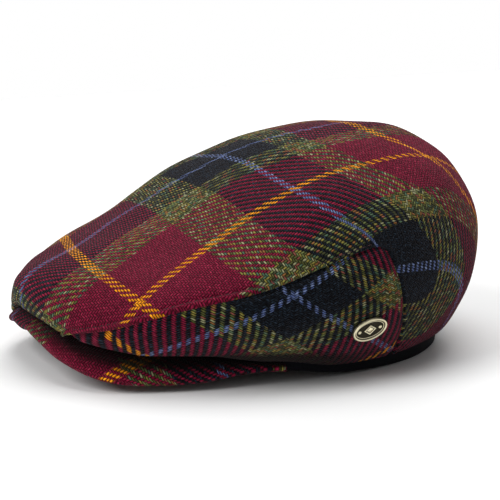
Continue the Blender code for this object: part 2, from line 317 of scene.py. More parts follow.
def peak_under(angle, reach):
    """Height of the peak's underside, which slopes from the opening to its edge."""
    share = reach / max(rim("peak_reach", angle), GAP)
    inner = rim("opening", angle)
    return inner + (rim("peak_edge", angle) - inner) * share**PEAK_CURL


def fold_point(angle):
    return opening_point(angle, rim("fold_reach", angle), rim("fold", angle))


def tuck_end(fold):
    """Where the cloth ends that turns under the crown's lower fold: on the peak, or beside the band."""
    angle, reach = angle_of(fold)
    depth = min(rim("tuck_reach", angle), reach - CLOTH - SEAT_GAP)
    over_peak = np.clip((PEAK_END_ANGLE + 4 - abs(angle)) / 16, 0, 1)
    seat = peak_under(angle, reach - depth) + PEAK_THICKNESS * 1.06 + SEAT_GAP
    return opening_point(angle, reach - depth, fold[2] + over_peak * (seat - fold[2]))


def crown_y(share):
    return CROWN_FRONT_Y + CROWN_LENGTH * share


def section_values(row):
    values = dict(zip(SECTION_COLUMNS, row))
    spine = np.array([0.0, crown_y(values["spine_y"]), CROWN_HEIGHT * values["spine_z"]])
    across, up = CROWN_HALF_WIDTH * values["seam_x"], CROWN_HEIGHT * values["seam_z"]
    seam = np.array([across, crown_y(values["seam_y"]), up])
    return spine, seam, values


def rib_point(seam, angle, bulge, share):
    """A point of the side panel, this share of the way down from the seam to the fold."""
    puff = 4 * share * (1 - share) * bulge * CROWN_HALF_WIDTH
    return seam + (fold_point(angle) - seam) * share + opening_normal(angle) * puff


def half_section(spine, edge, turn):
    """Points from the centre line to the panel's edge, on an arc that bends by the turn."""
    full = math.radians(turn)
    points = []
    for k in range(TOP_COLUMNS + 1):
        angle = full * k / TOP_COLUMNS
        across = math.sin(angle) / math.sin(full)
        down = (1 - math.cos(angle)) / (1 - math.cos(full))
        points.append(np.array([edge[0] * across, *(spine[1:] + (edge[1:] - spine[1:]) * down)]))
    return points


def top_cage():
    """The top panel's cage from its tuck under the front fold to the hem at the back, from right to left."""
    rows = []
    for row in SECTIONS:
        spine, seam, values = section_values(row)
        rows.append(half_section(spine, seam, values["turn"]))
    _, corner, last = section_values(SECTIONS[-1])
    for row in BACK_SECTIONS:
        values = dict(zip(BACK_COLUMNS, row))
        spine = np.array([0.0, crown_y(values["spine_y"]), CROWN_HEIGHT * values["spine_z"]])
        edge = rib_point(corner, last["rim_angle"], last["bulge"], values["share"])
        rows.append(half_section(spine, edge, values["turn"]))
    ends = [tuck_end(point) for point in rows[0]]
    middles = [(point + end) / 2 for point, end in zip(rows[0], ends)]
    hem = [tuck_end(point) for point in rows[-1]]
    half = np.array([ends, middles] + rows + [hem])
    return np.concatenate([half[:, :0:-1] * (-1, 1, 1), half], axis=1)


def resampled(points, count):
    """The same polyline as equal steps."""
    points = np.array(points)
    run = run_of(points)
    steps = np.linspace(0, run[-1], count + 1)
    return np.stack([np.interp(steps, run, points[:, k]) for k in range(3)], axis=1)


def run_of(points):
    """Length along a polyline, at each of its points."""
    return np.concatenate([[0], np.cumsum(np.linalg.norm(np.diff(points, axis=0), axis=1))])


def side_cage(under):
    """The side panel's ribs, each from just under the top panel's edge down to the fold and under it."""
    rows = []
    for number, row in enumerate(SECTIONS):
        _, seam, values = section_values(row)
        angle = values["rim_angle"]
        tucked = under * min(number / 3, 1)
        rib = [rib_point(seam, angle, values["bulge"], k / 12) for k in range(13)]
        start = rib[0] - (rib[1] - rib[0]) / np.linalg.norm(rib[1] - rib[0]) * tucked
        rows.append(resampled([start] + rib + [tuck_end(rib[-1])], RIB_CELLS))
    last, before = rows[-1], rows[-2]
    onward = (last - before) / np.linalg.norm(last - before, axis=1, keepdims=True)
    return np.array(rows + [last + onward * under])


def spline_weights(count, at):
    """Weights that turn a line of cage points into points of its smooth limit."""
    padded = np.zeros((count + 2, count))
    padded[1:-1] = np.eye(count)
    padded[0, :2] = (2, -1)
    padded[-1, -2:] = (-1, 2)
    cell = np.clip(at.astype(int), 0, count - 2)
    t = at - cell
    middle = (3 * t**3 - 6 * t**2 + 4, -3 * t**3 + 3 * t**2 + 3 * t + 1)
    basis = np.stack([(1 - t) ** 3, *middle, t**3], axis=1) / 6
    return sum(basis[:, k : k + 1] * padded[cell + k] for k in range(4))


def line_weights(count, at):
    """Weights that read a line of values between its points."""
    cell = np.clip(at.astype(int), 0, count - 2)
    t = (at - cell)[:, None]
    ends = np.eye(count)
    return (1 - t) * ends[cell] + t * ends[cell + 1]


def surface(cage, rows_at, columns_at):
    along = spline_weights(cage.shape[0], rows_at)
    across = spline_weights(cage.shape[1], columns_at)
    return np.einsum("ri,ijk,cj->rck", along, cage, across)


def steps_between(cells, steps, fine_start=False, fine_end=False):
    """Places along a line of cells, closer together in an end cell that holds a seam."""
    plain = np.arange(steps) / steps
    places = []
    for cell in range(cells):
        if cell == 0 and fine_start:
            places.append(np.array(EDGE_STEPS))
        elif cell == cells - 1 and fine_end:
            places.append(cell + 1 - np.array(EDGE_STEPS[:0:-1]))
        else:
            places.append(cell + plain)
    places.append(np.array([cells]))
    if fine_end:
        places.insert(-1, np.array([cells - 1.0]))
    return np.unique(np.concatenate(places))


def grid_normals(points):
    along = np.gradient(points, axis=0)
    across = np.gradient(points, axis=1)
    normals = np.cross(across, along)
    return normals / np.maximum(np.linalg.norm(normals, axis=2, keepdims=True), 1e-12)


def ease(low, high, at):
    """From 0 at low to 1 at high, with soft ends."""
    t = np.clip((at - low) / (high - low), 0, 1)
    return t * t * (3 - 2 * t)


def rumpled(points, normals, depth):
    """Soft waves of the cloth, the same on neighbouring panels."""
    x, y, z = np.moveaxis(points / MM, 2, 0)
    wave = np.sin(x / 13 + y / 29 + 1.1) * np.sin(y / 17 - z / 21)
    wave += 0.6 * np.sin(x / 9 - y / 11 + 0.5) * np.sin(z / 8 + x / 31)
    wave += 0.5 * np.sin(y / 7.5 + x / 15 + 2.0) * np.sin(z / 6.5 - y / 27)
    return points + normals * (wave * depth)[..., None]


# The far front, in millimetres: there the crown hangs lower and the peak stands higher
SETTLE_X, SETTLE_Y, SETTLE_Z = (-12, -42), (-82, -112), (47, 30)
SETTLE_DROP = 0.004
RAISE_X, RAISE_Y = (-3, -30), (-74, -98)
PEAK_RAISE = 0.0043


def settled(points):
    """The far front of the crown hangs a little lower, down to the peak."""
    x, y, z = np.moveaxis(points / MM, 2, 0)
    share = ease(*SETTLE_X, x) * ease(*SETTLE_Y, y) * ease(*SETTLE_Z, z)
    return points - np.stack([0 * x, 0 * x, share], axis=2) * SETTLE_DROP


# Cloth patterns: where each point lies on the flat cloth


def flat_pattern(points):
    """The grid laid flat with the least stretch, in metres: +V goes back and +U to the wearer's left."""
    mesh = grid_mesh("pattern", points)
    pattern = bpy.data.objects.new("pattern", mesh)
    bpy.context.scene.collection.objects.link(pattern)
    mesh.uv_layers.new(name="cloth")
    bpy.ops.object.select_all(action="DESELECT")
    bpy.context.view_layer.objects.active = pattern
    pattern.select_set(True)
    bpy.ops.object.mode_set(mode="EDIT")
    bpy.ops.mesh.select_all(action="SELECT")
    bpy.ops.uv.unwrap(method="MINIMUM_STRETCH", iterations=30, no_flip=True, margin=0.001)
    bpy.ops.object.mode_set(mode="OBJECT")
    corners = np.zeros(len(mesh.loops) * 2, np.float32)
    mesh.uv_layers["cloth"].uv.foreach_get("vector", corners)
    owners = np.zeros(len(mesh.loops), np.int32)
    mesh.loops.foreach_get("vertex_index", owners)
    flat = np.zeros((len(mesh.vertices), 2))
    flat[owners] = corners.reshape(-1, 2)
    flat = flat.reshape(*points.shape[:2], 2)
    bpy.data.objects.remove(pattern)
    bpy.data.meshes.remove(mesh)
    one, two = np.diff(points[:, :-1], axis=0), np.diff(points[:-1], axis=1)
    real = np.linalg.norm(np.cross(one, two), axis=2).sum()
    one, two = np.diff(flat[:, :-1], axis=0), np.diff(flat[:-1], axis=1)
    drawn = abs(one[..., 0] * two[..., 1] - one[..., 1] * two[..., 0]).sum()
    flat *= math.sqrt(real / drawn)
    centre = points.shape[1] // 2
    front = flat[points[:, centre, 1].argmin(), centre]
    back = flat[points[:, centre, 1].argmax(), centre]
    upright = (back - front) / np.linalg.norm(back - front)
    sideways = np.array([upright[1], -upright[0]])
    if (flat[len(flat) // 2, -1] - front) @ sideways < 0:
        sideways = -sideways
    return np.stack([(flat - front) @ sideways, (flat - front) @ upright], axis=2)


def through_lines(points, base, name):
    """The flat pattern's count of lines, eased so that it passes near the table's points."""
    places = points.reshape(-1, 3) / MM
    values = base.reshape(-1)
    rows = [row for row in LINES if row[LINE_COLUMNS.index(name)] is not None]
    shape = BVHTree.FromPolygons(points.reshape(-1, 3).tolist(), grid_faces(points).tolist())
    marks = np.array([seen_at(shape, row[0], row[1]) for row in rows]) / MM
    nearest = np.linalg.norm(places[None] - marks[:, None], axis=2).argmin(axis=1)
    wanted = np.array([row[LINE_COLUMNS.index(name)] for row in rows], float)
    marks = places[nearest]

    def pull(of):
        squares = ((of[:, None] - marks[None]) ** 2).sum(axis=2)
        return np.exp(-squares / (2 * LINE_SPREAD**2))

    missing = wanted - values[nearest]
    shift = missing.mean()
    weights = np.linalg.solve(pull(marks) + LINE_SOFTNESS * np.eye(len(rows)), missing - shift)
    return (values + shift + pull(places) @ weights).reshape(base.shape)


def top_patterns(cage, rows_at, columns_at):
    """The top panel's tartan and yarn coordinates, at each point of its dense grid."""
    rough = PATTERN_STEPS
    rough_rows = np.arange((cage.shape[0] - 1) * rough + 1) / rough
    rough_columns = np.arange((cage.shape[1] - 1) * rough + 1) / rough
    points = surface(cage, rough_rows, rough_columns)
    flat = flat_pattern(points)
    tartan = np.stack(
        [
            through_lines(points, flat[..., 0] / HALF_SETT, "lengthwise"),
            through_lines(points, flat[..., 1] / HALF_SETT, "crosswise"),
        ],
        axis=2,
    )
    along = line_weights(len(rough_rows), rows_at * rough)
    across = line_weights(len(rough_columns), columns_at * rough)
    return [np.einsum("ri,ijk,cj->rck", along, values, across) for values in (tartan, flat / YARN)]


# Where blue and gold lines cross the side panels, on the bias: the run is along the panel from its tip
SIDE_TIP_RUN = 0.025
SIDE_TIP_HEIGHT = 0.024
DOWN_SHIFT = 0.003
DOWN_SLOPE = math.radians(33)
RISE_RUN = (0, 60, 111, 160, 220)
RISE_COUNT = (0.90, 1.24, 1.58, 1.95, 2.14)
RISE_SLOPE = math.radians(24)
RISE_HEIGHT = 0.020


def side_patterns(points):
    """The side panel's tartan and yarn coordinates: it is cut on the bias and fans out to the back."""
    middle = points.shape[1] // 2
    run = run_of(points[:, middle] * (1, 1, 0))[:, None] - SIDE_TIP_RUN + 0 * points[..., 0]
    fall = np.array([run_of(row) for row in points])
    height = points[..., 2]
    turned = height[:, middle : middle + 1] - (fall - fall[:, middle : middle + 1])
    height = np.where(np.arange(points.shape[1]) > middle, turned, height)
    down = run * math.sin(DOWN_SLOPE) - DOWN_SHIFT
    down += (points[..., 2] - SIDE_TIP_HEIGHT) * math.cos(DOWN_SLOPE)
    rise = np.interp(run / MM, RISE_RUN, RISE_COUNT) * SIDE_SETT_UP
    rise -= (height - RISE_HEIGHT) * math.cos(RISE_SLOPE)
    tartan = np.stack([down / SIDE_SETT_DOWN, rise / SIDE_SETT_UP], axis=2)
    return [tartan, np.stack([down, -rise], axis=2) / SIDE_YARN]


PEAK_GOLD_X = 0.062
PEAK_GOLD_Y = -0.138


def peak_patterns(laid):
    """The peak's tartan and yarn coordinates from its points as laid flat."""
    x = laid[..., 0] - PEAK_GOLD_X
    y = laid[..., 1] - PEAK_GOLD_Y
    flat = np.stack([x, y], axis=2)
    return [flat / PEAK_SETT, flat / YARN]


# Meshes


def grid_faces(points):
    rows, columns = points.shape[:2]
    index = np.arange(rows * columns).reshape(rows, columns)
    return np.stack([index[:-1, :-1], index[:-1, 1:], index[1:, 1:], index[1:, :-1]], axis=2).reshape(-1, 4)


def grid_mesh(name, points, flip=False):
    """A surface with a vertex at each point of the grid."""
    faces = grid_faces(points)
    if flip:
        faces = faces[:, ::-1]
    mesh = bpy.data.meshes.new(name)
    mesh.from_pydata(points.reshape(-1, 3).tolist(), [], faces.tolist())
    mesh.shade_smooth()
    return mesh


def add_pattern(mesh, name, values):
    """A UV map with these values at the mesh's vertices."""
    layer = mesh.uv_layers.new(name=name)
    owners = np.zeros(len(mesh.loops), np.int32)
    mesh.loops.foreach_get("vertex_index", owners)
    layer.uv.foreach_set("vector", values.reshape(-1, 2)[owners].astype(np.float32).ravel())


def add_painted_fold_shade(mesh, values):
    """Painted shade: how deep each vertex lies in the shade of a fold, from 0 to 1, which darkens the cloth's
    colour.
    """
    layer = mesh.attributes.new("shelter", "FLOAT", "POINT")
    layer.data.foreach_set("value", values.ravel().astype(np.float32))


def add_piece(name, mesh, material, node):
    """A finished piece, which stands for a node of the frame and rides on the cap."""
    piece = bpy.data.objects.new(name, mesh)
    bpy.context.scene.collection.objects.link(piece)
    if not mesh.materials:
        mesh.materials.append(material)
    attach(piece, "root")
    if node:
        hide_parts(node)
    return piece


def add_cloth(context, name, mesh, patterns, shelter, node, finish):
    """A piece of tweed: its tartan, its yarns and the shade of its folds painted into its colour, then its
    wall or its caps.
    """
    add_pattern(mesh, "tartan", patterns[0])
    add_pattern(mesh, "yarn", patterns[1])
    add_painted_fold_shade(mesh, shelter)
    return add_piece(name, finish(mesh), tweed_material(context.scene.cap_colours), node)


def baked(made):
    """The object's evaluated mesh on its own, with the object gone."""
    bpy.context.view_layer.update()
    evaluated = made.evaluated_get(bpy.context.evaluated_depsgraph_get())
    mesh = bpy.data.meshes.new_from_object(evaluated)
    bpy.data.objects.remove(made)
    return mesh


def thickened(mesh):
    """The mesh with the cloth's wall inwards from its outer face."""
    made = bpy.data.objects.new(mesh.name, mesh)
    bpy.context.scene.collection.objects.link(made)
    wall = made.modifiers.new("Wall", "SOLIDIFY")
    wall.thickness = CLOTH
    wall.offset = -1
    return baked(made)


# Shader maths


class Field:
    """A number that varies over a surface. Arithmetic on it adds Math nodes."""

    def __init__(self, shader, socket):
        self.shader = shader
        self.socket = socket

    def math(self, operation, *values):
        node = self.shader.node("ShaderNodeMath", {"operation": operation}, dict(enumerate(values)))
        return Field(self.shader, node.outputs[0])

    def __add__(self, other):
        return self.math("ADD", self, other)

    __radd__ = __add__

    def __sub__(self, other):
        return self.math("SUBTRACT", self, other)

    def __rsub__(self, other):
        return self.math("SUBTRACT", other, self)

    def __mul__(self, other):
        return self.math("MULTIPLY", self, other)

    __rmul__ = __mul__

    def __truediv__(self, other):
        return self.math("DIVIDE", self, other)

    def __mod__(self, other):
        return self.math("FLOORED_MODULO", self, other)

    def __pow__(self, other):
        return self.math("POWER", self, other)

    def __lt__(self, other):
        return self.math("LESS_THAN", self, other)

    def __abs__(self):
        return self.math("ABSOLUTE", self)

    def floor(self):
        return self.math("FLOOR", self)

    def least(self, other):
        return self.math("MAXIMUM", self, other)

    def between(self, low, high):
        """From 0 at low to 1 at high, with soft ends."""
        node = self.shader.node(
            "ShaderNodeMapRange", {"interpolation_type": "SMOOTHSTEP"}, {0: self, 1: low, 2: high}
        )
        return Field(self.shader, node.outputs[0])


class Shader:
    """A material and the nodes that are added to it."""

    def __init__(self, name, **constants):
        self.material = bpy.data.materials.new(name)
        self.material.use_nodes = True
        self.tree = self.material.node_tree
        self.surface = self.tree.nodes["Principled BSDF"]
        for socket, value in constants.items():
            self.surface.inputs[socket].default_value = value

    def node(self, kind, settings=None, inputs=None):
        """Any node: its settings are set first, then the values or links of its sockets."""
        made = self.tree.nodes.new(kind)
        for name, value in (settings or {}).items():
            if name == "stops":
                ramp = made.color_ramp
                while len(ramp.elements) > 1:
                    ramp.elements.remove(ramp.elements[-1])
                for number, (place, colour) in enumerate(value):
                    stop = ramp.elements.new(place) if number else ramp.elements[0]
                    stop.position = place
                    stop.color = (*colour, 1)
            elif name == "steps":
                made.color_ramp.interpolation = value
            else:
                setattr(made, name, value)
        for name, value in (inputs or {}).items():
            self.feed(made.inputs[name], value)
        return made

    def feed(self, socket, value):
        if isinstance(value, Field):
            value = value.socket
        if isinstance(value, bpy.types.NodeSocket):
            self.tree.links.new(value, socket)
        elif socket.type == "RGBA" and len(value) == 3:
            socket.default_value = (*value, 1)
        else:
            socket.default_value = value

    def pattern(self, name):
        """The two coordinates of one of the piece's UV maps."""
        source = self.node("ShaderNodeUVMap", {"uv_map": name})
        parts = self.node("ShaderNodeSeparateXYZ", inputs={0: source.outputs[0]})
        return Field(self, parts.outputs[0]), Field(self, parts.outputs[1])

    def at(self, x, y, z=0.0):
        return self.node("ShaderNodeCombineXYZ", inputs={0: x, 1: y, 2: z}).outputs[0]

    def place(self):
        return self.node("ShaderNodeTexCoord").outputs["Object"]

    def noise(self, vector, scale, detail=2.0, roughness=0.5):
        inputs = {"Vector": vector, "Scale": scale, "Detail": detail, "Roughness": roughness}
        made = self.node("ShaderNodeTexNoise", inputs=inputs)
        return Field(self, made.outputs["Fac"])

    def mix(self, factor, one, two, blend="MIX"):
        made = self.node(
            "ShaderNodeMix", {"data_type": "RGBA", "blend_type": blend}, {0: factor, 6: one, 7: two}
        )
        return made.outputs[2]

    def ramp(self, factor, stops, steps="CONSTANT"):
        return self.node("ShaderNodeValToRGB", {"stops": stops, "steps": steps}, {0: factor}).outputs[0]

    def bump(self, height, distance, strength=1.0):
        inputs = {"Height": height, "Distance": distance, "Strength": strength}
        made = self.node("ShaderNodeBump", inputs=inputs)
        self.feed(self.surface.inputs["Normal"], made.outputs[0])


TWEED_VALUES = {
    "Roughness": 1.0,
    "Sheen Weight": 0.07,
    "Sheen Roughness": 0.45,
    "Sheen Tint": (1.0, 0.86, 0.88, 1),
    "Specular IOR Level": 0.05,
}
TAPE_VALUES = {
    "Roughness": 0.82,
    "Sheen Weight": 0.01,
    "Sheen Roughness": 0.5,
    "Specular IOR Level": 0.1,
}

# The twill: each float passes over two yarns of four. The offset parts the weft's chances from the warp's.
FLOAT = 2
TWILL_REPEAT = 4
WEFT_OFFSET = 517
HEATHER_SHARE = 0.72
FLECK_RANGE = (0.42, 0.68)
# Sideways waver of the yarns, and how high a float lies at its ends
WAVER_SCALE = 0.35
WAVER = 0.7
FLOAT_ENDS = 0.45
# Fibres, in cycles per yarn: across and along it, and the hairs that stand off it
FIBRE_ACROSS = 1.3
FIBRE_ALONG = 0.42
FIBRE_ROUGHNESS = 0.62
WARP_LAYER, WEFT_LAYER = 3.0, 9.0
HAIR_SCALE = 3.5
# Shares of the multiplier on the colour: painted shade between yarns and on a yarn by its height, tone that
# differs at random from hairs and chance, painted shade in folds, and tone in wide soft clouds
GAP_SHADE, YARN_SHADE, YARN_ROUND = 0.01, 1.20, 1.25
SHADE_BASE, HAIR_SHADE, CHANCE_SHADE = 0.45, 0.75, 0.45
FOLD_SHADE = 0.95
CLOUD_BASE, CLOUD, CLOUD_SCALE = 0.8, 0.4, 26.0
# Relief: share of the hairs, height of a yarn in metres and strength
HAIR_RELIEF, YARN_RELIEF, RELIEF_STRENGTH = 0.5, 0.0006, 0.9

# Stops of the tartan, as the share of the way from a gold line to a blue line
GOLD_END = 0.030
BURGUNDY_END = 0.45
GREEN_END = 0.70
BLUE_START = 0.974


# Colours that the green heather yarn is spun from
HEATHER = (
    (0.00, (0.075, 0.085, 0.022)),
    (0.20, (0.300, 0.250, 0.050)),
    (0.36, (0.012, 0.026, 0.020)),
    (0.50, (0.140, 0.180, 0.060)),
    (0.64, (0.280, 0.095, 0.030)),
    (0.74, (0.040, 0.115, 0.085)),
    (0.84, (0.300, 0.300, 0.170)),
    (0.93, (0.200, 0.030, 0.040)),
)


def tartan_stops(colours, ending):
    names = ("gold", "burgundy", "green", "navy", "blue")
    places = (0.0, GOLD_END, BURGUNDY_END, GREEN_END, BLUE_START)
    return [(place, tuple(getattr(colours, name + ending))) for place, name in zip(places, names)]


def tweed_material(colours):
    """Two-and-two twill in woollen yarn, each yarn with the colour of its place in the tartan."""
    found = bpy.data.materials.get("tweed_cloth")
    if found:
        return found
    shader = Shader("tweed_cloth", **TWEED_VALUES)
    across, along = shader.pattern("tartan")
    u, v = shader.pattern("yarn")
    waver = shader.noise(shader.at(u, v), WAVER_SCALE, 1.0) - 0.5
    u = u + waver * WAVER
    v = v + waver * WAVER
    warp, weft = u.floor(), v.floor()
    warp_up = (warp - weft) % TWILL_REPEAT < FLOAT
    warp_across = 1 - (2 * (u - warp) - 1) ** 2
    weft_across = 1 - (2 * (v - weft) - 1) ** 2
    warp_along = 1 - ((warp - v + 1) % TWILL_REPEAT - 1) ** 2
    weft_along = 1 - ((u - weft) % TWILL_REPEAT - 3) ** 2
    warp_height = warp_across.least(0) * (FLOAT_ENDS + (1 - FLOAT_ENDS) * warp_along.least(0))
    weft_height = weft_across.least(0) * (FLOAT_ENDS + (1 - FLOAT_ENDS) * weft_along.least(0))
    height = weft_height + warp_up * (warp_height - weft_height)

    def yarn_colour(count, fibres, chance):
        """Colour of one set of yarns: its stripe mixed with its flecks, with heather in the green."""
        distance = abs((count + 1) % 2 - 1)
        plain = shader.ramp(distance, tartan_stops(colours, ""))
        fleck = shader.ramp(distance, tartan_stops(colours, "_fleck"))
        mixed = shader.mix(fibres.between(*FLECK_RANGE), plain, fleck)
        heather = shader.ramp(chance, HEATHER)
        green = (distance < GREEN_END) * (1 - (distance < BURGUNDY_END))
        return shader.mix(green * HEATHER_SHARE, mixed, heather)

    def chance_of(row, place):
        """A fixed number for each float of yarn."""
        inputs = {"Vector": shader.at(row, place)}
        made = shader.node("ShaderNodeTexWhiteNoise", {"noise_dimensions": "2D"}, inputs)
        return Field(shader, made.outputs["Value"])

    warp_place = shader.at(u * FIBRE_ACROSS, v * FIBRE_ALONG, WARP_LAYER)
    warp_fibres = shader.noise(warp_place, 1.0, 3.0, FIBRE_ROUGHNESS)
    weft_place = shader.at(u * FIBRE_ALONG, v * FIBRE_ACROSS, WEFT_LAYER)
    weft_fibres = shader.noise(weft_place, 1.0, 3.0, FIBRE_ROUGHNESS)
    warp_chance = chance_of(warp, ((warp - v + 1) / TWILL_REPEAT).floor())
    weft_chance = chance_of(weft, ((u - weft) / TWILL_REPEAT).floor() + WEFT_OFFSET)
    warp_colour = yarn_colour(across, warp_fibres, warp_chance)
    weft_colour = yarn_colour(along, weft_fibres, weft_chance)
    colour = shader.mix(warp_up, weft_colour, warp_colour)
    chance = weft_chance + warp_up * (warp_chance - weft_chance)
    hairs = shader.noise(shader.at(u, v), HAIR_SCALE, 3.0, 0.7)
    # Painted shade: the fold attribute darkens the colour where the cloth lies under the crown's folds
    source = shader.node("ShaderNodeAttribute", {"attribute_name": "shelter"})
    # Painted shade darkens the colour between the yarns and in folds; hairs, chance and clouds add tone that
    # differs at random
    shade = GAP_SHADE + YARN_SHADE * height**YARN_ROUND
    shade = shade * (SHADE_BASE + HAIR_SHADE * hairs + CHANCE_SHADE * chance)
    shade = shade * (1 - FOLD_SHADE * Field(shader, source.outputs["Fac"]))
    shade = shade * (CLOUD_BASE + CLOUD * shader.noise(shader.place(), CLOUD_SCALE, 2.0))
    painted_shade_and_tone = shader.node("ShaderNodeCombineColor", inputs={0: shade, 1: shade, 2: shade}).outputs[0]
    colour = shader.mix(1.0, colour, painted_shade_and_tone, "MULTIPLY")
    shader.feed(shader.surface.inputs["Base Color"], colour)
    shader.bump(height + hairs * HAIR_RELIEF, YARN_RELIEF, RELIEF_STRENGTH)
    return shader.material


def band_material(colours):
    """Ribbed cotton tape."""
    shader = Shader("band_tape", **TAPE_VALUES)
    u, v = shader.pattern("tape")
    rib = 1 - (2 * (u % 1) - 1) ** 2
    thread = 1 - (2 * (v % 1) - 1) ** 2
    lint = shader.noise(shader.place(), 900.0, 3.0, 0.65)
    worn = shader.noise(shader.place(), 60.0, 2.0)
    lift = (rib * 0.6 + thread * 0.3 + lint * 0.5) * (0.6 + 0.8 * worn)
    pale = tuple(4.5 * part for part in colours.band)
    shader.feed(shader.surface.inputs["Base Color"], shader.mix(lift * 0.45, tuple(colours.band), pale))
    shader.bump(rib + thread * 0.4 + lint * 0.4, 0.00025, 0.7)
    return shader.material


def brass_material(colours):
    """Aged brass, bright where fingers rub it and dark where polish never reaches."""
    shader = Shader("aged_brass_worn", Metallic=1.0)
    source = shader.node("ShaderNodeAttribute", {"attribute_name": "worn"})
    worn = Field(shader, source.outputs["Fac"])
    stain = shader.noise(shader.place(), 420.0, 4.0, 0.6)
    scratch = shader.noise(shader.place(), 2600.0, 3.0, 0.7)
    bright = (worn + (stain - 0.5) * 0.55).between(0.15, 0.85)
    colour = shader.mix(bright, tuple(colours.patina), tuple(colours.brass))
    shader.feed(shader.surface.inputs["Base Color"], colour)
    shader.feed(shader.surface.inputs["Roughness"], 0.52 - 0.26 * bright + 0.12 * scratch)
    shader.bump(stain * 0.6 + scratch * 0.4, 0.00012, 0.5)
    return shader.material


def thread_material(colours):
    """Twisted sewing thread."""
    shader = Shader("thread", Roughness=0.7)
    lint = shader.noise(shader.place(), 2200.0, 3.0)
    dark = tuple(0.45 * part for part in colours.thread)
    shader.feed(shader.surface.inputs["Base Color"], shader.mix(lint, dark, tuple(colours.thread)))
    shader.bump(lint, 0.0001, 0.6)
    return shader.material


# The top panel, whose edge makes the welt round the crown: shares of the welt's width and height

WELT_AT_BACK = 0.25
WELT_FADE_Y = (0.0, -0.045)
GROOVE_WIDTH = 0.26
GROOVE_DEPTH = 0.75
ROLL_WIDTH = 0.35
ROLL_DEPTH = 0.8 * CLOTH
# Cells of the cage in which the cloth turns under the front fold, from its deepest painted shade outwards
TOP_SHADE = (1.9, 1.2)


def top_surface(sizes):
    """The top panel's outer face, its distance from its edge and its normals, with the places of its grid."""
    cage = top_cage()
    rows_at = steps_between(cage.shape[0] - 1, ROW_STEPS)
    columns_at = steps_between(cage.shape[1] - 1, COLUMN_STEPS, fine_start=True, fine_end=True)
    points = surface(cage, rows_at, columns_at)
    points = settled(points)
    normals = grid_normals(points)
    points = rumpled(points, normals, sizes.rumple)
    runs = np.array([run_of(row) for row in points])
    distance = np.minimum(runs, runs[:, -1:] - runs)
    return cage, rows_at, columns_at, points, normals, distance


def welt(points, distance, sizes):
    """Height of the cloth beside the seam: a rounded welt, a stitched groove, then the plain cloth.
    It is plainest in front and fades to the back, where the cloth is only turned in."""
    width = sizes.welt_width
    strength = WELT_AT_BACK + (1 - WELT_AT_BACK) * ease(*WELT_FADE_Y, points[..., 1])
    ridge = np.sin(np.pi * np.clip(distance / width, 0, 1)) ** 0.7 * sizes.welt_height
    groove = np.exp(-(((distance - width) / (GROOVE_WIDTH * width)) ** 2)) * sizes.welt_height * GROOVE_DEPTH
    roll = np.clip(1 - distance / (ROLL_WIDTH * width), 0, 1) ** 2 * ROLL_DEPTH
    return (ridge - groove) * strength - roll


class FLATCAP_OT_top_panel(bpy.types.Operator):
    """Makes the long top panel, which runs from the front fold over the crown and down the back"""

    bl_idname = "flatcap.top_panel"
    bl_label = "Top panel"

    def execute(self, context):
        sizes = context.scene.cap_sizes
        cage, rows_at, columns_at, points, normals, distance = top_surface(sizes)
        patterns = top_patterns(cage, rows_at, columns_at)
        points = points + normals * welt(points, distance, sizes)[..., None]
        mesh = grid_mesh("top_panel_cloth", points)
        # Painted shade on the cloth that turns under the front fold
        shade = ease(*TOP_SHADE, rows_at)[:, None] + 0 * distance
        add_cloth(context, "top_panel_cloth", mesh, patterns, shade, "top_panel", thickened)
        return {"FINISHED"}


# The side panels: places are in the cage's cells, and the tip lies wholly under the top panel's corner
TIP_START = 0.4
SIDE_ROW_STEPS = 12
# Rows of the cage over which the painted shade in the tuck fades out towards the back
SHADE_FRONT = (10.5, 8.5)
# How far the edge reaches under the top panel, in welt widths, where it rises again, in those reaches, and
# how deep it lies there
UNDER_WELT = 0.6
SINK_END = 3.2
SINK_DEPTH = 0.75 * CLOTH
# Where the painted shade in the tuck starts and where it is full, beside the tuck's depth from the cloth's
# edge
SHADE_PAST_TUCK = (0.001, -0.005)


class FLATCAP_OT_side_panels(bpy.types.Operator):
    """Makes the two side panels, which start under the top panel's edge and fold in at the rim"""

    bl_idname = "flatcap.side_panels"
    bl_label = "Side panels"

    def execute(self, context):
        sizes = context.scene.cap_sizes
        under = UNDER_WELT * sizes.welt_width
        cage = side_cage(under)
        rows_at = steps_between(cage.shape[0] - 1, SIDE_ROW_STEPS, fine_end=True)
        rows_at = rows_at[rows_at > TIP_START]
        columns_at = steps_between(cage.shape[1] - 1, COLUMN_STEPS, fine_start=True)
        tucks = np.array([rim("tuck_reach", row[SECTION_COLUMNS.index("rim_angle")]) for row in SECTIONS])
        tuck = np.interp(rows_at, np.arange(len(tucks)), tucks)[:, None]
        for name, side in (("left", 1), ("right", -1)):
            points = surface(cage, rows_at, columns_at)
            patterns = side_patterns(points)
            points = points * (side, 1, 1)
            points = settled(points)
            normals = grid_normals(points) * side
            points = rumpled(points, normals, sizes.rumple)
            from_seam = np.array([run_of(row) for row in points])
            runs = np.array([run_of(points[:, k]) for k in range(points.shape[1])]).T
            from_back = runs[-1:] - runs
            nearest = np.minimum(from_seam, from_back)
            sink = (1 - ease(under, SINK_END * under, nearest)) * SINK_DEPTH
            points = points - normals * sink[..., None]
            mesh = grid_mesh(f"side_panel_{name}_cloth", points, flip=side < 0)
            # Painted shade on the cloth tucked under the crown's lower fold, fading out towards the back
            to_end = from_seam[:, -1:] - from_seam
            shade = ease(*(tuck + past for past in SHADE_PAST_TUCK), to_end)
            shade = shade * ease(*SHADE_FRONT, rows_at)[:, None]
            add_cloth(context, mesh.name, mesh, patterns, shade, f"side_panel_{name}", thickened)
        return {"FINISHED"}


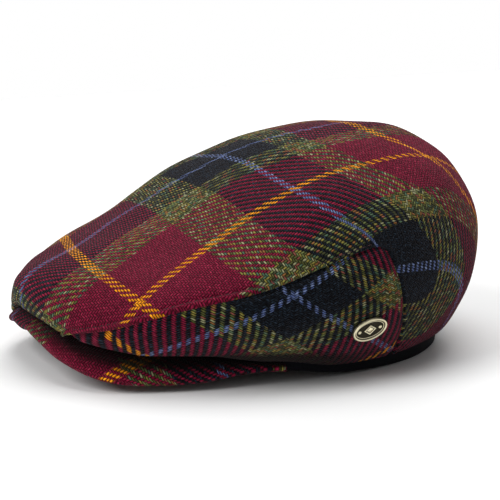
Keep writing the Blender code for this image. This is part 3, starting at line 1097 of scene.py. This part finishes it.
# The peak: the turn of its rounded edge to each side, its least reach and the cloth's run round that edge,
# both as shares of half its thickness, and the painted shade under the crown, from its start to its full
# depth

PEAK_ROUND = 75
PEAK_LEAST = 1.3
PEAK_EDGE_RUN = 1.4
PEAK_TOP_START = 28
PEAK_SHADE = (0.25, 0.72)


def peak_angles():
    return np.linspace(-PEAK_END_ANGLE, PEAK_END_ANGLE, PEAK_RIBS)


def peak_surface(thickness):
    """The peak's whole skin: under it, round its edge and back over the top, with its points as laid flat."""
    half = thickness / 2
    turns = np.radians(np.linspace(-PEAK_ROUND, PEAK_ROUND, PEAK_ROUND_STEPS))
    skin = []
    laid = []
    for angle in peak_angles():
        outer = max(rim("peak_reach", angle), SEAT_GAP + PEAK_LEAST * half)
        reaches = np.linspace(SEAT_GAP, outer - half, PEAK_RIB_STEPS)
        heights = np.array([peak_under(angle, reach) for reach in reaches])
        slope = np.gradient(heights, reaches)
        lift_out = -slope / np.hypot(1, slope)
        lift_up = 1 / np.hypot(1, slope)
        core_out = reaches + lift_out * half
        core_up = heights + lift_up * half
        arc = reaches[0] + np.concatenate([[0], np.cumsum(np.hypot(np.diff(core_out), np.diff(core_up)))])
        under = np.stack([core_out - lift_out * half, core_up - lift_up * half, arc], axis=1)
        over = np.stack([core_out + lift_out * half, core_up + lift_up * half, arc], axis=1)
        profile = list(under)
        for turn in turns:
            out = math.cos(turn) * lift_up[-1] + math.sin(turn) * lift_out[-1]
            up = -math.cos(turn) * lift_out[-1] + math.sin(turn) * lift_up[-1]
            run = arc[-1] + half * math.cos(turn) * PEAK_EDGE_RUN
            profile.append((core_out[-1] + half * out, core_up[-1] + half * up, run))
        profile += list(over[::-1])
        skin.append([opening_point(angle, out, up) for out, up, _ in profile])
        laid.append([opening_point(angle, out) for _, _, out in profile])
    return np.array(skin), np.array(laid)


def capped(mesh):
    """The mesh with its open ends filled and its normals outwards."""
    shape = bmesh.new()
    shape.from_mesh(mesh)
    edges = [edge for edge in shape.edges if edge.is_boundary]
    bmesh.ops.holes_fill(shape, edges=edges, sides=0)
    bmesh.ops.triangulate(shape, faces=[face for face in shape.faces if len(face.verts) > 4])
    bmesh.ops.recalc_face_normals(shape, faces=shape.faces)
    shape.to_mesh(mesh)
    shape.free()
    return mesh


class FLATCAP_OT_peak(bpy.types.Operator):
    """Makes the peak, a curved board covered in the same cloth with a rounded edge"""

    bl_idname = "flatcap.peak"
    bl_label = "Peak"

    def execute(self, context):
        sizes = context.scene.cap_sizes
        points, laid = peak_surface(sizes.peak_thickness)
        x, y, z = np.moveaxis(points / MM, 2, 0)
        raised = ease(*RAISE_X, x) * ease(*RAISE_Y, y) * PEAK_RAISE
        points[..., 2] += raised
        mesh = grid_mesh("peak_cloth", points, flip=True)
        # Painted shade on the peak's top where it lies under the crown's fold
        edge = z.min(axis=1, keepdims=True)
        fold = np.array([rim("fold", angle) for angle in peak_angles()]) / MM
        rise = (z - edge) / (fold[:, None] - edge)
        upper = np.arange(z.shape[1])[None] >= PEAK_TOP_START
        shade = ease(*PEAK_SHADE, rise) * upper
        add_cloth(context, "peak_cloth", mesh, peak_patterns(laid), shade, "peak", capped)
        return {"FINISHED"}


# The inner band

BAND_PROFILE = 20
BAND_SQUARE_OUT = 0.45
BAND_SQUARE_UP = 0.9
RIB_PITCH = 0.0007
THREAD_PITCH = 0.0011


def squared(value, power):
    """A sine or cosine that stays near its ends for longer."""
    return math.copysign(abs(value) ** power, value)


class FLATCAP_OT_inner_band(bpy.types.Operator):
    """Makes the ribbed tape round the head opening, with rounded edges"""

    bl_idname = "flatcap.inner_band"
    bl_label = "Inner band"

    def execute(self, context):
        rows = []
        tape = []
        run = 0.0
        before = opening_point(0)
        for k in range(BAND_STEPS + 1):
            angle = 360 * k / BAND_STEPS
            here = opening_point(angle)
            run += float(np.linalg.norm(here - before))
            before = here
            low = rim("opening", min(angle, 360 - angle))
            ring = []
            flat = []
            for j in range(BAND_PROFILE + 1):
                turn = 2 * math.pi * j / BAND_PROFILE
                out = -BAND_WALL / 2 + BAND_WALL / 2 * squared(math.cos(turn), BAND_SQUARE_OUT)
                up = BAND_HEIGHT / 2 * (1 + squared(math.sin(turn), BAND_SQUARE_UP))
                ring.append(opening_point(angle, out, low + up))
                flat.append((run / RIB_PITCH, up / THREAD_PITCH))
            rows.append(ring)
            tape.append(flat)
        mesh = grid_mesh("inner_band_tape", np.array(rows))
        add_pattern(mesh, "tape", np.array(tape))
        shape = bmesh.new()
        shape.from_mesh(mesh)
        bmesh.ops.remove_doubles(shape, verts=shape.verts, dist=1e-6)
        bmesh.ops.recalc_face_normals(shape, faces=shape.faces)
        shape.to_mesh(mesh)
        shape.free()
        material = band_material(context.scene.cap_colours)
        add_piece("inner_band_tape", mesh, material, "inner_band")
        return {"FINISHED"}


# The badge, in its own axes: X along it, Y up it and Z outwards from its back

# Each row of the two profiles: inset in millimetres or share of the size, height in millimetres, wear
BADGE_HALF_LENGTH = 0.0098
BADGE_HALF_HEIGHT = 0.0064
BADGE_STEPS = 72
BADGE_PROFILE = (
    (0.35, 0.00, 0.1),
    (0.08, 0.05, 0.1),
    (0.00, 0.22, 0.2),
    (0.00, 1.55, 0.5),
    (0.07, 1.82, 0.9),
    (0.25, 1.97, 1.0),
    (0.55, 2.02, 1.0),
    (0.85, 1.94, 1.0),
    (1.03, 1.75, 0.7),
    (1.12, 1.35, 0.0),
    (1.30, 1.24, 0.0),
    (1.48, 1.26, 0.1),
    (1.58, 1.44, 0.8),
    (1.72, 1.52, 0.9),
    (1.86, 1.44, 0.7),
    (1.96, 1.27, 0.1),
    (2.30, 1.25, 0.0),
    (3.20, 1.26, 0.1),
    (4.60, 1.28, 0.1),
    (6.00, 1.30, 0.1),
)
LOZENGE = (
    (1.00, 1.20, 0.0),
    (0.96, 1.62, 0.9),
    (0.88, 1.72, 1.0),
    (0.76, 1.68, 1.0),
    (0.70, 1.40, 0.1),
    (0.60, 1.38, 0.1),
    (0.52, 1.52, 0.8),
    (0.06, 1.84, 1.0),
)
LOZENGE_HALF_LENGTH = 0.0036
LOZENGE_HALF_HEIGHT = 0.0030
STUD_RADIUS = 0.0010
STUD_SPACING = 0.0060
STUD_STEPS = 20
STUD_BASE = 0.0012
STUD_RISE = 0.00065
STUD_TILTS = (0, 15, 35, 55, 75)
STUD_WEAR = (0.0, 0.5, 0.9, 1.0, 1.0)
# Heights of the middle points of the oval, the lozenge and the studs
OVAL_MIDDLE = 0.0013
LOZENGE_MIDDLE = 0.00187
STUD_MIDDLE = 0.00186


def badge_axes():
    """Where the frame's badge lies: its centre and its three axes."""
    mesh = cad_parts["badge"].data
    points = np.array([vertex.co for vertex in mesh.vertices])
    centre = (points.min(axis=0) + points.max(axis=0)) / 2
    _, _, axes = np.linalg.svd(points - points.mean(axis=0), full_matrices=False)
    right = axes[0] * np.sign(axes[0][1])
    out = axes[2] * np.sign(axes[2][0])
    up = np.cross(out, right)
    depth = (points - centre) @ out
    return centre + out * depth.min(), right, up, out


def ring_stack(rings, centre):
    """Closed rings of points joined one inside the next, and a last point in the middle."""
    count = len(rings[0])
    verts = [point for ring in rings for point in ring] + [centre]
    faces = []
    for r in range(len(rings) - 1):
        for k in range(count):
            a, b = r * count + k, r * count + (k + 1) % count
            faces.append((a, b, b + count, a + count))
    last = (len(rings) - 1) * count
    faces += [(last + k, last + (k + 1) % count, len(verts) - 1) for k in range(count)]
    faces.append(tuple(range(count))[::-1])
    return verts, faces


def oval_rings():
    turns = np.linspace(0, 2 * math.pi, BADGE_STEPS, endpoint=False)
    rings = []
    for inset, height, _ in BADGE_PROFILE:
        long_side = BADGE_HALF_LENGTH - inset * MM
        short_side = BADGE_HALF_HEIGHT - inset * MM
        rings.append([(long_side * math.cos(t), short_side * math.sin(t), height * MM) for t in turns])
    return rings


def lozenge_rings():
    corners = ((1, 0), (0, 1), (-1, 0), (0, -1))
    rings = []
    for share, height, _ in LOZENGE:
        ring = []
        for k, (x, y) in enumerate(corners):
            nx, ny = corners[(k + 1) % 4]
            for t in np.linspace(0, 1, 6)[:-1]:
                across = share * LOZENGE_HALF_LENGTH * (x + (nx - x) * t)
                up = share * LOZENGE_HALF_HEIGHT * (y + (ny - y) * t)
                ring.append((across, up, height * MM))
        rings.append(ring)
    return rings


def stud_rings(offset):
    turns = np.linspace(0, 2 * math.pi, STUD_STEPS, endpoint=False)
    rings = []
    for tilt in np.radians(STUD_TILTS):
        radius = STUD_RADIUS * math.cos(tilt)
        height = STUD_BASE + STUD_RISE * math.sin(tilt)
        rings.append([(offset + radius * math.cos(t), radius * math.sin(t), height) for t in turns])
    return rings


class FLATCAP_OT_badge(bpy.types.Operator):
    """Makes the oval badge: a raised rim, a fine bead and a lozenge between two studs"""

    bl_idname = "flatcap.badge"
    bl_label = "Badge"

    def execute(self, context):
        centre, right, up, out = badge_axes()
        parts = [
            (oval_rings(), (0, 0, OVAL_MIDDLE), [row[2] for row in BADGE_PROFILE]),
            (lozenge_rings(), (0, 0, LOZENGE_MIDDLE), [row[2] for row in LOZENGE]),
        ]
        for offset in (STUD_SPACING, -STUD_SPACING):
            parts.append((stud_rings(offset), (offset, 0, STUD_MIDDLE), STUD_WEAR))
        verts, faces, worn = [], [], []
        for rings, middle, wear in parts:
            part_verts, part_faces = ring_stack(rings, middle)
            faces += [tuple(len(verts) + k for k in face) for face in part_faces]
            verts += part_verts
            worn += [value for value in wear for _ in rings[0]] + [wear[-1]]
        placed = centre + np.array(verts) @ np.array([right, up, out])
        mesh = bpy.data.meshes.new("badge_oval")
        mesh.from_pydata(placed.tolist(), [], faces)
        mesh.attributes.new("worn", "FLOAT", "POINT").data.foreach_set("value", worn)
        mesh.shade_smooth()
        add_piece("badge_oval", mesh, brass_material(context.scene.cap_colours), "badge")
        return {"FINISHED"}


# Topstitching in the welt's groove, over these rows of the top panel's grid

STITCHED_ROWS = slice(27, 110)
STITCH_SIDES = 8
STITCH_RINGS = 5
STITCH_SETTINGS = ("Pitch", "Length", "Thread radius")


def stitch_tree(material):
    """Geometry Nodes that lay a row of stitches along a curve."""
    tree = bpy.data.node_groups.new("Stitches", "GeometryNodeTree")
    face = tree.interface
    face.new_socket("Geometry", in_out="INPUT", socket_type="NodeSocketGeometry")
    for name in STITCH_SETTINGS:
        face.new_socket(name, in_out="INPUT", socket_type="NodeSocketFloat")
    face.new_socket("Geometry", in_out="OUTPUT", socket_type="NodeSocketGeometry")
    kinds = {
        "source": "NodeGroupInput",
        "resample": "GeometryNodeResampleCurve",
        "ball": "GeometryNodeMeshUVSphere",
        "half": "ShaderNodeMath",
        "scale": "ShaderNodeCombineXYZ",
        "shape": "GeometryNodeTransform",
        "tangent": "GeometryNodeInputTangent",
        "align": "FunctionNodeAlignRotationToVector",
        "place": "GeometryNodeInstanceOnPoints",
        "real": "GeometryNodeRealizeInstances",
        "finish": "GeometryNodeSetMaterial",
        "sink": "NodeGroupOutput",
    }
    nodes = {name: tree.nodes.new(kind) for name, kind in kinds.items()}
    nodes["resample"].mode = "LENGTH"
    nodes["half"].operation = "MULTIPLY"
    nodes["align"].axis = "X"
    values = (
        ("ball", "Segments", STITCH_SIDES),
        ("ball", "Rings", STITCH_RINGS),
        ("ball", "Radius", 1.0),
        ("half", 1, 0.5),
        ("finish", "Material", material),
    )
    for name, socket, value in values:
        nodes[name].inputs[socket].default_value = value
    links = (
        ("source", "Geometry", "resample", "Curve"),
        ("source", "Pitch", "resample", "Length"),
        ("source", "Length", "half", 0),
        ("half", 0, "scale", 0),
        ("source", "Thread radius", "scale", 1),
        ("source", "Thread radius", "scale", 2),
        ("ball", "Mesh", "shape", "Geometry"),
        ("scale", 0, "shape", "Scale"),
        ("tangent", 0, "align", "Vector"),
        ("resample", "Curve", "place", "Points"),
        ("shape", "Geometry", "place", "Instance"),
        ("align", 0, "place", "Rotation"),
        ("place", "Instances", "real", "Geometry"),
        ("real", "Geometry", "finish", "Geometry"),
        ("finish", "Geometry", "sink", "Geometry"),
    )
    for one, output, other, socket in links:
        tree.links.new(nodes[one].outputs[output], nodes[other].inputs[socket])
    return tree


def stitched(name, lines, sizes, material):
    """A mesh of the stitches along some lines of points."""
    curve = bpy.data.curves.new(name, "CURVE")
    curve.dimensions = "3D"
    for line in lines:
        spline = curve.splines.new("POLY")
        spline.points.add(len(line) - 1)
        for point, place in zip(spline.points, line):
            point.co = (*place, 1)
    made = bpy.data.objects.new(name, curve)
    bpy.context.scene.collection.objects.link(made)
    tree = stitch_tree(material)
    row = made.modifiers.new("Stitches", "NODES")
    row.node_group = tree
    values = dict(zip(STITCH_SETTINGS, (sizes.stitch_pitch, sizes.stitch_length, sizes.thread_radius)))
    for item in tree.interface.items_tree:
        if item.in_out == "INPUT" and item.name in values:
            row[item.identifier] = values[item.name]
    return baked(made)


class FLATCAP_OT_topstitching(bpy.types.Operator):
    """Sews the row of stitches beside the crown's seams"""

    bl_idname = "flatcap.topstitching"
    bl_label = "Topstitching"

    def execute(self, context):
        sizes = context.scene.cap_sizes
        _, _, _, points, normals, distance = top_surface(sizes)
        lifted = points + normals * welt(points, distance, sizes)[..., None]
        middle = points.shape[1] // 2
        lines = []
        for half in (slice(0, middle), slice(None, middle, -1)):
            line = []
            for row, away in zip(lifted[:, half][STITCHED_ROWS], distance[:, half][STITCHED_ROWS]):
                line.append([float(np.interp(sizes.welt_width, away, row[:, k])) for k in range(3)])
            lines.append(line)
        mesh = stitched("topstitching", lines, sizes, thread_material(context.scene.cap_colours))
        add_piece("topstitching", mesh, None, None)
        return {"FINISHED"}


# Floor, lights and camera

# Each light's name, place, size and watts
LIGHTS = (
    ("key", (0.10, -1.45, 1.25), 1.1, 22.0),
    ("overhead", (-0.25, 0.25, 1.70), 1.5, 22.0),
    ("back", (-1.10, 0.95, 0.75), 0.9, 9.0),
)
FLOOR_COLOUR = (0.90, 0.90, 0.90)
FLOOR_HALF = 1.0
ROOM_LIGHT = 0.25


class FLATCAP_OT_stage(bpy.types.Operator):
    """Makes the pale floor, the soft lights and the camera"""

    bl_idname = "flatcap.stage"
    bl_label = "Stage"

    def execute(self, context):
        scene = context.scene
        scene.view_settings.view_transform = "Standard"
        world = bpy.data.worlds.new("room")
        scene.world = world
        world.use_nodes = True
        tree = world.node_tree
        background = tree.nodes["Background"].inputs
        background["Color"].default_value = (1, 1, 1, 1)
        seen = tree.nodes.new("ShaderNodeLightPath").outputs["Is Camera Ray"]
        strength = tree.nodes.new("ShaderNodeMapRange")
        strength.inputs["To Min"].default_value = ROOM_LIGHT
        strength.inputs["To Max"].default_value = 1.0
        tree.links.new(seen, strength.inputs["Value"])
        tree.links.new(strength.outputs["Result"], background["Strength"])
        mesh = bpy.data.meshes.new("floor")
        corners = [(x * FLOOR_HALF, y * FLOOR_HALF, 0) for x, y in ((-1, -1), (1, -1), (1, 1), (-1, 1))]
        mesh.from_pydata(corners, [], [(0, 1, 2, 3)])
        floor = bpy.data.objects.new("floor", mesh)
        scene.collection.objects.link(floor)
        shader = Shader("floor_paper", Roughness=0.9)
        shader.feed(shader.surface.inputs["Base Color"], FLOOR_COLOUR)
        mesh.materials.append(shader.material)
        for name, place, size, watts in LIGHTS:
            light = bpy.data.lights.new(name, "AREA")
            light.size = size
            light.energy = watts
            made = bpy.data.objects.new(name, light)
            made.location = place
            made.rotation_euler = (Vector(CAMERA_AIM) - Vector(place)).to_track_quat("-Z", "Y").to_euler()
            scene.collection.objects.link(made)
        scene.camera = self.camera(scene)
        return {"FINISHED"}

    def camera(self, scene):
        data = bpy.data.cameras.new("photograph_view")
        data.lens = CAMERA_LENS
        data.sensor_width = CAMERA_SENSOR
        data.clip_start = CAMERA_CLIP
        made = bpy.data.objects.new("photograph_view", data)
        made.matrix_world = camera_matrix()
        scene.collection.objects.link(made)
        return made


# Panel, registration and main

STEPS = (
    FLATCAP_OT_top_panel,
    FLATCAP_OT_side_panels,
    FLATCAP_OT_peak,
    FLATCAP_OT_inner_band,
    FLATCAP_OT_badge,
    FLATCAP_OT_topstitching,
    FLATCAP_OT_stage,
)


class FLATCAP_PT_panel(bpy.types.Panel):
    bl_idname = "FLATCAP_PT_panel"
    bl_label = "Flat cap"
    bl_space_type = "VIEW_3D"
    bl_region_type = "UI"
    bl_category = "Flat cap"

    def draw(self, context):
        for step in STEPS:
            self.layout.operator(step.bl_idname)
        for settings in (context.scene.cap_sizes, context.scene.cap_colours):
            for name in settings.__annotations__:
                self.layout.prop(settings, name)


CLASSES = (CapSizes, CapColours, *STEPS, FLATCAP_PT_panel)


def register():
    for each in CLASSES:
        bpy.utils.register_class(each)
    bpy.types.Scene.cap_sizes = bpy.props.PointerProperty(type=CapSizes)
    bpy.types.Scene.cap_colours = bpy.props.PointerProperty(type=CapColours)


def unregister():
    del bpy.types.Scene.cap_colours
    del bpy.types.Scene.cap_sizes
    for each in reversed(CLASSES):
        bpy.utils.unregister_class(each)


def main():
    register()
    for step in STEPS:
        group, name = step.bl_idname.split(".")
        getattr(getattr(bpy.ops, group), name)()


if __name__ == "__main__":
    main()
